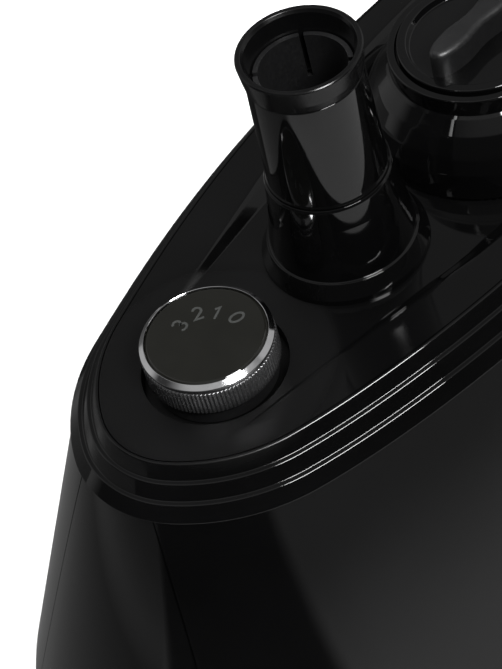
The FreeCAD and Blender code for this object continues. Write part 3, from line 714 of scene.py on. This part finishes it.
def build_deck():
    """Deck cover as one closed shell: top with the sunken panel, tiered rim, dial well."""
    angles = oval_angles(1.6)
    edge = np.array([oval(a, DECK_EDGE) for a in angles])
    mouth = WELL_R + 0.6
    holes = [(DIAL, mouth, 160), (HOSE, SOCKET_HOLE_R, 120), (DRUM, DRUM_HOLE_R, 120)]
    rim = sweep(rounded([(o, DECK + z, r) for o, z, r in RIM], 5)[:-1], oval, angles, rises=True)
    floor = DECK - WELL_DEPTH
    well = [(mouth, DECK - WALL, 0), (WELL_R + WALL, DECK - WALL, 0), (WELL_R + WALL, floor - WALL, 0.5),
            (BUSH_R, floor - WALL, 0), (BUSH_R, floor, 0), (WELL_R, floor, 0.4), (WELL_R, DECK, 0.5),
            (mouth, DECK, 0)]
    cup = sweep(rounded([(r, z, f) for r, z, f in well[::-1]], 5)[:-1], circle_at(DIAL), turn_angles(160))
    cover = new_object("deck_cover", rim, cup, *deck_sheets(edge, holes))
    finish_piece(cover, "base", HANDLED_SHADED, "gloss_black", "top_cover")


# ---- skirt --------------------------------------------------------------------------------
# Nose seam in plan: a point on it and its run
SEAM_START, SEAM_RUN = (16.7, -135.4), (15.8, -12.6)
SKIRT_ROWS, SKIRT_COLUMNS = 24, 131


def crossing(reached, lowest, highest):
    """Angle between two bounds where a test on the angle turns from true to false."""
    for _ in range(40):
        half = (lowest + highest) / 2
        if reached(half):
            lowest = half
        else:
            highest = half
    return lowest


def nose_seam(offset, shift):
    """Normal angle where the outline at an offset crosses the nose seam plane, moved by shift."""
    run = Vector(SEAM_RUN).normalized()
    across = Vector((-run.y, run.x))

    def before(angle):
        """Whether the outline point is still on the nose side."""
        return (Vector(oval(angle, offset)) - Vector(SEAM_START)).dot(across) < shift

    return crossing(before, -math.pi / 2, 0.0)


def tail_seam(offset, x):
    """Normal angle where the outline at an offset comes back in to x near the tail."""
    return crossing(lambda angle: oval(angle, offset)[0] > x, 0.0, math.pi / 2)


def skirt_piece(name, span, mirror=False):
    """One shell of the skirt as a closed wall; span gives its end angles at an offset."""
    top_z = DECK - LIP_DROP - LIP_GAP
    outer, inner = [], []
    for t in np.linspace(0, 1, SKIRT_ROWS):
        z = top_z + (FOOT_Z - top_z) * t
        offset = SKIRT_OFFSET + (DECK - LIP_DROP - z) * FLARE
        outer_row, inner_row = [], []
        for angle in np.linspace(*span(offset), SKIRT_COLUMNS):
            x, y = oval(angle, offset)
            x_in, y_in = oval(angle, offset - WALL)
            height = z + climb(y) * (1 - t)
            shade = Vector((math.cos(angle), math.sin(angle), FLARE)).normalized()
            outer_row.append(((x, y, height), shade))
            inner_row.append(((x_in, y_in, height), shade))
        outer.append(outer_row)
        inner.append(inner_row)
    points, faces, normals = wall_shell(outer, inner)
    if mirror:
        points = [(-x, y, z) for x, y, z in points]
        normals = [Vector((-n.x, n.y, n.z)) for n in normals]
        turned, start = [], 0
        for face in faces:
            turned += normals[start:start + len(face)][::-1]
            start += len(face)
        faces, normals = [face[::-1] for face in faces], turned
    return new_object(name, (points, faces, normals))


def build_skirt():
    """Nose and tail panels and the two side shells."""
    def nose(offset):
        """Ends of the nose panel."""
        end = nose_seam(offset, 0)
        return -math.pi - end, end

    def side(offset):
        """Ends of the right shell."""
        return nose_seam(offset, SEAM), tail_seam(offset, TAIL_HALF + SEAM)

    def tail(offset):
        """Ends of the tail panel."""
        start = tail_seam(offset, TAIL_HALF)
        return start, math.pi - start

    for node, span, mirror in (("nose_panel", nose, False), ("left_shell", side, True),
                               ("right_shell", side, False), ("tail_panel", tail, False)):
        finish_piece(skirt_piece(node + "_skin", span, mirror), "base", BLACK, "gloss_black", node)


# ---- dial ---------------------------------------------------------------------------------
KNURL_COUNT = 104
RING_BORE_R = 19.2
DIGIT_H = 5.6
DIGIT_STROKE = 0.85
# Each numeral's degrees clockwise from the tail, and its centre's distance from the dial's
DIGIT_PLACES = {"0": (17, 11.4), "1": (-21.5, 9.2), "2": (-59.5, 9.8), "3": (-100.5, 9.9)}


def build_dial():
    """Knurled ring with a polished chamfer, dark glass and printed numbers."""
    top = GLASS_TOP
    chamfer = [(RING_BORE_R, top - 3.1, 0), (20.9, top - 3.1, 0), (20.9, top - 2.5, 0.1),
               (21.75, top - 2.2, 0.15), (21.75, top - 1.3, 0.25), (20.15, top, 0.12),
               (20.0, top - 0.15, 0.05), (20.0, top - 1.75, 0), (RING_BORE_R, top - 1.75, 0)]
    finish_piece(lathe("dial_chamfer", chamfer, DIAL, 240, 6), "dial", CHROME, "dial_chrome", "dial_ring")
    knurl_z = low("dial_ring").z
    knurl = knurled_band("dial_knurl", 22.05, 0.4, knurl_z, top - 3.2)
    finish_piece(knurl, "dial", KNURL, "dial_chrome", "dial_ring")
    neck = [(18, DECK - 4.4, 0), (20.2, DECK - 4.4, 0.4), (20.2, knurl_z + 0.4, 0), (18, knurl_z + 0.4, 0)]
    finish_piece(lathe("dial_neck", neck, DIAL, 120), "dial", SATIN, "satin_black", "dial_skirt")
    glass = [(0, top - 1.7, 0), (19.95, top - 1.7, 0), (19.95, top - 0.9, 0.2), (19.0, top - 0.05, 1.0),
             (0, top - 0.05, 0)]
    finish_piece(lathe("dial_glass_disc", glass, DIAL, 200, 8), "dial", GLASS, "dial_glass", "dial_glass")
    for digit, (degrees, radius) in DIGIT_PLACES.items():
        number(digit, degrees, radius)


def knurled_band(name, radius, depth, z0, z1):
    """Band of rounded ridges, closed top and bottom, with the ridge ends sloped."""
    points_per_ridge = 10
    total = KNURL_COUNT * points_per_ridge
    # Rings of the band: (height, radius, share of the groove depth)
    levels = [(z0, RING_BORE_R, 0), (z0, radius - 0.7, 0), (z0 + 0.4, radius - 0.25, 0.6),
              (z0 + 0.9, radius, 1), (z1 - 0.75, radius, 1), (z1 - 0.3, radius - 0.16, 0.8),
              (z1 - 0.05, radius - 0.5, 0.3), (z1, radius - 0.8, 0), (z1, RING_BORE_R, 0)]
    points, faces = [], []
    for z, r, share in levels:
        for a in turn_angles(total):
            groove = (0.5 - 0.5 * math.cos(KNURL_COUNT * a)) ** 0.8
            reach = r - depth * share * groove
            points.append((DIAL[0] + reach * math.cos(a), DIAL[1] + reach * math.sin(a), z))
    for i in range(len(levels)):
        k = (i + 1) % len(levels)
        for j in range(total):
            m = (j + 1) % total
            faces.append([i * total + j, i * total + m, k * total + m, k * total + j])
    return creased_object(name, points, faces, 60)


def arc(cx, cy, rx, ry, start, end, steps=18):
    """Points along an elliptic arc, angles in degrees."""
    turns = [math.radians(start + (end - start) * i / steps) for i in range(steps + 1)]
    return [(cx + rx * math.cos(t), cy + ry * math.sin(t)) for t in turns]


# Strokes of plain numerals in a box of unit height centred on the origin
NUMERALS = {
    "0": [arc(0, 0, 0.28, 0.43, 0, 360, 36)],
    "1": [[(-0.2, 0.24), (0.04, 0.43), (0.04, -0.43)]],
    "2": [arc(0, 0.18, 0.25, 0.25, 165, -35) + [(-0.26, -0.43), (0.28, -0.43)]],
    "3": [arc(-0.02, 0.22, 0.23, 0.21, 150, -80) + arc(-0.02, -0.2, 0.27, 0.23, 75, -155)],
}


def ribbon(line, width, z0, z1):
    """Flat closed strip along a line of plan points."""
    closed = math.dist(line[0], line[-1]) < 1e-6
    line = [Vector(p) for p in (line[:-1] if closed else line)]
    sides = []
    for i, p in enumerate(line):
        before = line[i - 1] if i or closed else p
        after = line[(i + 1) % len(line)] if i < len(line) - 1 or closed else p
        into, out = (p - before), (after - p)
        into = into.normalized() if into.length else out.normalized()
        out = out.normalized() if out.length else into
        across = Vector((-(into + out).y, (into + out).x)).normalized()
        reach = width / 2 / max(0.5, across.dot(Vector((-out.y, out.x))))
        sides.append((p + across * reach, p - across * reach))
    points = []
    for one, other in sides:
        points += [(one.x, one.y, z0), (other.x, other.y, z0), (other.x, other.y, z1), (one.x, one.y, z1)]
    faces = []
    count = len(line)
    for i in range(count if closed else count - 1):
        k = (i + 1) % count
        for a, b in ((0, 1), (1, 2), (2, 3), (3, 0)):
            faces.append([4 * i + a, 4 * i + b, 4 * k + b, 4 * k + a])
    if not closed:
        faces += [[3, 2, 1, 0], [4 * count - 4 + i for i in range(4)]]
    return points, faces


def number(digit, degrees, radius):
    """Printed numeral on the glass, its foot towards the dial's centre, clockwise from the tail."""
    turn = math.radians(90 - degrees)
    spin = Matrix.Rotation(turn - math.pi / 2, 2)
    centre = Vector(DIAL) + Vector((math.cos(turn), math.sin(turn))) * radius
    ink_bottom, ink_top = GLASS_TOP - 0.06, GLASS_TOP - 0.02
    shells = []
    for stroke in NUMERALS[digit]:
        line = [tuple(centre + spin @ (Vector(p) * DIGIT_H)) for p in stroke]
        points, faces = ribbon(line, DIGIT_STROKE, ink_bottom, ink_top)
        normals = [facet_normal([points[i] for i in face]) for face in faces for _ in face]
        shells.append((points, faces, normals))
    finish_piece(new_object("digit_" + digit, *shells), "dial", PRINT, "dial_glass")


# ---- hose column --------------------------------------------------------------------------
def build_column():
    """Flanged socket, sleeve with its joint line, flared collar."""
    z = DECK
    socket = [(16.5, z - 30, 0), (20, z - 30, 0), (20, z, 0), (27.9, z, 0.2), (27.75, z + 1.8, 0.5),
              (25.1, z + 6.9, 0.3), (24.3, z + 7.1, 0.4), (23.8, z + 10.5, 4), (22.5, z + 18, 8),
              (21.4, z + 27, 8), (20.75, z + 35.0, 0.5), (20.3, z + 35.8, 0.2),
              (16.5, z + 35.8, 0)]
    finish_piece(lathe("hose_socket_body", socket, HOSE, 200, 6), "base", BLACK, "gloss_black",
                 "hose_socket")
    top = SLEEVE_TOP
    sleeve = [(16.5, z + 35.9, 0), (19.7, z + 35.9, 0.2), (20.0, z + 36.5, 0.25), (19.65, z + 37.2, 0.2),
              (18.95, z + 60, 20), (18.5, top, 0.3), (17.0, top, 0.2), (17.0, top - 16, 0),
              (16.5, top - 16, 0)]
    finish_piece(lathe("socket_sleeve_body", sleeve, HOSE, 200, 6), "base", BLACK, "gloss_black",
                 "socket_sleeve")
    rim = HOSE_TOP
    collar = [(15.9, top - 14, 0), (16.95, top - 14, 0), (16.95, top + 0.3, 0), (18.7, top + 0.3, 0.3),
              (19.15, top + 3, 4), (19.85, rim - 0.5, 0.5), (19.4, rim, 0.4), (18.1, rim, 0.5),
              (17.3, rim - 1.2, 0.5), (16.2, top + 3, 1), (15.9, top + 1, 1)]
    finish_piece(lathe("lock_collar_body", collar, HOSE, 200, 6), "hose_collar", COLLAR, "satin_black",
                 "lock_collar")


# ---- filler drum --------------------------------------------------------------------------
def build_drum():
    """Domed drum with an upright rim, and its turn-to-open cap."""
    z, top, rim = DECK, DRUM_TOP, DRUM_RIM_R
    drum = [(24.5, z - 8, 0), (36, z - 8, 0), (36, z, 0), (43, z, 0.3), (42.8, z + 3, 3), (41.6, z + 9, 8),
            (39.2, z + 15, 9), (35.6, z + 20.5, 9), (31.4, z + 25, 3), (rim + 0.2, z + 25.9, 0.3),
            (rim, top, 0.7), (rim - 2.6, top, 0.5), (rim - 3, top - 0.8, 0.3), (rim - 3, top - 3, 0),
            (24.5, top - 3, 0)]
    finish_piece(lathe("filler_drum_body", drum, DRUM, 240, 6), "base", BLACK, "gloss_black", "filler_drum")
    r, floor = rim - 3.4, top - 2.7
    disc = [(0, floor, 0), (18.0, floor, 0), (18.0, floor - 8, 0.2), (20.7, floor - 8, 0.3),
            (20.7, floor, 0.2), (r, floor, 0.3), (r, floor + 4.2, 0.7), (r - 3.2, floor + 4.2, 0.6),
            (r - 4.2, floor + 2.2, 0.6), (0, floor + 2.2, 0)]
    finish_piece(lathe("cap_disc", disc, DRUM, 200, 6), "cap", BLACK, "gloss_black", "filler_cap")
    finish_piece(grip_bar("cap_grip", 21.0, 5.0, floor + 1.6, floor + 12.0), "cap", SATIN, "satin_black",
                 "filler_cap")


def grip_bar(name, half_length, half_width, z0, z1):
    """Round-ended bar across the cap, waisted in the middle, with a rounded crown."""
    bend = 2.2
    profile = [(0.0, z0), (0.0, z1 - bend)]
    for i in range(1, 7):
        t = math.pi / 2 * i / 6
        profile.append((-bend * (1 - math.cos(t)), z1 - bend * (1 - math.sin(t))))
    outline = []
    for t in turn_angles(160):
        along = math.copysign(abs(math.cos(t)) ** 0.55, math.cos(t)) * half_length
        waist = 1 - 0.22 * math.cos(math.pi * min(1, abs(along) / half_length)) ** 2 * (
            abs(along) < half_length / 2)
        across = math.copysign(abs(math.sin(t)) ** 0.8, math.sin(t)) * half_width * waist
        outline.append(Vector((across, along)))
    count = len(outline)
    points, faces = [], []
    for inset, z in profile:
        for i, p in enumerate(outline):
            along = outline[(i + 1) % count] - outline[i - 1]
            outward = Vector((along.y, -along.x)).normalized()
            if outward.dot(p) < 0:
                outward = -outward
            q = p + outward * inset
            points.append((DRUM[0] + q.x, DRUM[1] + q.y, z))
    for level in range(len(profile) - 1):
        for i in range(count):
            k = (i + 1) % count
            faces.append([level * count + i, (level + 1) * count + i, (level + 1) * count + k,
                          level * count + k])
    faces.append(list(range(count)))
    faces.append(list(range(len(points) - 1, len(points) - 1 - count, -1)))
    return creased_object(name, points, faces, 45)


# ---- stage, light and camera --------------------------------------------------------------
FLOOR_HALF = 6.0
FLAG_HALF, FLAG_HEIGHT = 5.9, 0.0008
# Level directions from the object by which the reflected surroundings are graded
BEHIND = (-0.832, 0.555, 0)
BEFORE = (0.66, -0.75, 0)
LEFT = (-1, 0, 0)
FRONT_LEFT = (-0.643, -0.766, 0)
FRONT_RIGHT = (0.469, -0.883, 0)


def build_floor():
    """Pale plain floor."""
    floor = ground_square("floor", FLOOR_HALF)
    mat = material("floor_pale", (0.86, 0.86, 0.86), 0.7)
    vary_colour(mat, noise(mat, 3), (0.85, 0.85, 0.85), (0.87, 0.87, 0.87))
    floor.data.materials.append(mat)


def area_light(name, place, target, size, power):
    """Rectangular soft light aimed at a point, places in metres."""
    light = bpy.data.lights.new(name, "AREA")
    light.shape = "RECTANGLE"
    light.size, light.size_y = size
    light.energy = power
    obj = link_object(name, light)
    obj.location = place
    obj.rotation_euler = (Vector(target) - Vector(place)).to_track_quat("-Z", "Y").to_euler()
    return obj


def reflected_floor():
    """Studio flag laid on the floor: only reflections see it, bright by the object, dark in front."""
    flag = ground_square("floor_flag", FLAG_HALF, FLAG_HEIGHT)
    mat = bpy.data.materials.new("floor_flag")
    mat.use_nodes = True
    tree = mat.node_tree
    tree.nodes.remove(tree.nodes["Principled BSDF"])
    place = tree.nodes.new("ShaderNodeTexCoord")
    reach = tree.nodes.new("ShaderNodeVectorMath")
    reach.operation = "LENGTH"
    tree.links.new(place.outputs["Object"], reach.inputs[0])
    near = ramp(tree, reach.outputs["Value"], 0.2, 0.6, 0.8, 0.26)
    far = ramp(tree, reach.outputs["Value"], 0.28, 0.42, 0.0, 1.0)
    close = math_node(tree, "SUBTRACT", 1.0, far)
    facing = tree.nodes.new("ShaderNodeVectorMath")
    facing.operation = "NORMALIZE"
    tree.links.new(place.outputs["Object"], facing.inputs[0])
    facing = facing.outputs["Vector"]
    left = math_node(tree, "MAXIMUM", far, direction_ramp(tree, facing, LEFT, 0.86, 0.95, 1.0, 0.03))
    corner = math_node(tree, "MAXIMUM", math_node(tree, "MULTIPLY", far, 0.5),
                       direction_ramp(tree, facing, FRONT_LEFT, 0.66, 0.8, 1.0, 0.2))
    front = math_node(tree, "MAXIMUM", close,
                      direction_ramp(tree, facing, FRONT_RIGHT, 0.88, 0.93, 1.0, 0.08))
    behind = math_node(tree, "MAXIMUM", close,
                       direction_ramp(tree, facing, BEHIND, 0.6, 0.95, 1.0, 0.1))
    shade = math_node(tree, "MINIMUM", math_node(tree, "MINIMUM", left, corner),
                      math_node(tree, "MINIMUM", front, behind))
    level = math_node(tree, "MULTIPLY", near, shade)
    glow = tree.nodes.new("ShaderNodeEmission")
    tree.links.new(level, glow.inputs["Color"])
    tree.links.new(glow.outputs["Emission"], tree.nodes["Material Output"].inputs["Surface"])
    flag.data.materials.append(mat)
    flag.visible_camera = False
    flag.visible_diffuse = False
    flag.visible_shadow = False
    flag.visible_transmission = False


def build_light():
    """Softbox beside the camera, diffuse fill from the far side, surround dim behind the object."""
    world = bpy.data.worlds.new("studio")
    bpy.context.scene.world = world
    world.use_nodes = True
    tree = world.node_tree
    tree.nodes.remove(tree.nodes["Background"])
    place = tree.nodes.new("ShaderNodeTexCoord")
    flat = tree.nodes.new("ShaderNodeVectorMath")
    flat.operation = "MULTIPLY"
    flat.inputs[1].default_value = (1, 1, 0)
    tree.links.new(place.outputs["Generated"], flat.inputs[0])
    unit = tree.nodes.new("ShaderNodeVectorMath")
    unit.operation = "NORMALIZE"
    tree.links.new(flat.outputs["Vector"], unit.inputs[0])
    behind = direction_ramp(tree, unit.outputs["Vector"], BEHIND, 0.70, 0.88, 1.0, 0.4)
    upright = tree.nodes.new("ShaderNodeSeparateXYZ")
    tree.links.new(place.outputs["Generated"], upright.inputs["Vector"])
    before = math_node(tree, "MAXIMUM", ramp(tree, upright.outputs["Z"], 0.55, 0.75, 0.08, 1.0),
                       direction_ramp(tree, unit.outputs["Vector"], BEFORE, -0.15, 0.15, 1.0, 0.0))
    dim = math_node(tree, "MULTIPLY", math_node(tree, "MULTIPLY", behind, before), 0.44)
    path = tree.nodes.new("ShaderNodeLightPath")
    level = math_node(tree, "MAXIMUM", dim, path.outputs["Is Camera Ray"])
    back = tree.nodes.new("ShaderNodeBackground")
    tree.links.new(level, back.inputs["Color"])
    tree.links.new(back.outputs["Background"], tree.nodes["World Output"].inputs["Surface"])
    area_light("softbox", (0.87, -0.16, 1.12), (0, -0.07, 0.15), (0.45, 0.4), 24)
    fill = area_light("fill", (-0.7, 0.1, 1.4), (-0.1, 0, 0), (1.2, 1.2), 36)
    fill.visible_glossy = False


CAMERA_AIM = (4.07, -71.32, 153.83)
CAMERA_BACK = (0.55987, -0.37360, 0.73957)
CAMERA_DISTANCE = 758.79
CAMERA_ROLL = -0.29615
LENS = 128.83


def build_camera():
    """Long-lens camera above the nose, rolled as the object leans in its picture."""
    back = Vector(CAMERA_BACK).normalized()
    right = Vector((0, 0, 1)).cross(back).normalized()
    up = back.cross(right)
    c, s = math.cos(CAMERA_ROLL), math.sin(CAMERA_ROLL)
    rolled_right, rolled_up = right * c + up * s, up * c - right * s
    data = bpy.data.cameras.new("camera")
    data.lens = LENS
    data.sensor_width = 36
    data.clip_start = 0.01
    camera = link_object("camera", data)
    basis = Matrix((rolled_right, rolled_up, back)).transposed().to_4x4()
    place = Vector(CAMERA_AIM) * MM + back * CAMERA_DISTANCE * MM
    camera.matrix_world = Matrix.Translation(place) @ basis
    bpy.context.scene.camera = camera


paint_cad_nodes()
build_deck()
build_skirt()
build_dial()
build_column()
build_drum()
build_floor()
reflected_floor()
build_light()
build_camera()
bpy.context.scene.view_settings.view_transform = "Standard"
